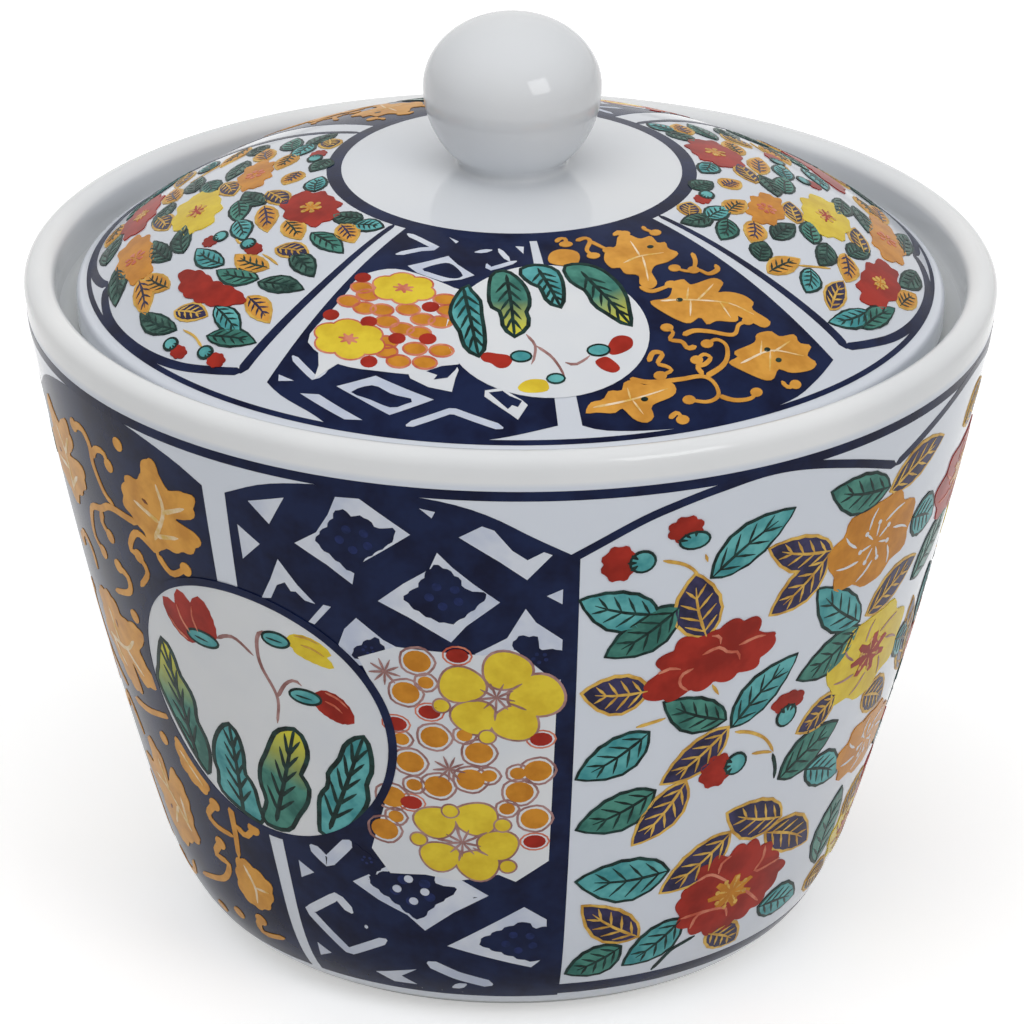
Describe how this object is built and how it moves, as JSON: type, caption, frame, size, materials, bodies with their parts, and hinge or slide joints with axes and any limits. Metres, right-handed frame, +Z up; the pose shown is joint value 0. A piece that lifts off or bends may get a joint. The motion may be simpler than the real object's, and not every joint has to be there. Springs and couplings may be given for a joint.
{
  "type": "lidded bowl",
  "caption": "Small tapered porcelain pot with an inset domed lid and a ball knob, for sugar, pickles or condiments, covered in a blue, red and gold panelled flower pattern.",
  "frame": {"origin": "centre of the foot ring's underside, on the axis of the bowl", "axes": "+Z up along the bowl's axis, -Y towards the viewer of the picture, +X to the viewer's right"},
  "size_m": [0.105, 0.105, 0.1032],
  "materials": {
    "bowl_porcelain": "clear glossy glaze over white porcelain with underglaze cobalt and overglaze enamels",
    "lid_porcelain": "clear glossy glaze over white porcelain with underglaze cobalt and overglaze enamels",
    "knob_porcelain": "clear glossy glaze over plain white porcelain"
  },
  "bodies": {
    "bowl": {"bowl": "bowl_porcelain"},
    "lid": {"lid": "lid_porcelain", "knob": "knob_porcelain"}
  },
  "joints": [
    {"name": "lid_lift", "type": "slide", "parent": "bowl", "child": "lid", "axis": [0, 0, 1], "range_m": [0, 0.12]}
  ]
}
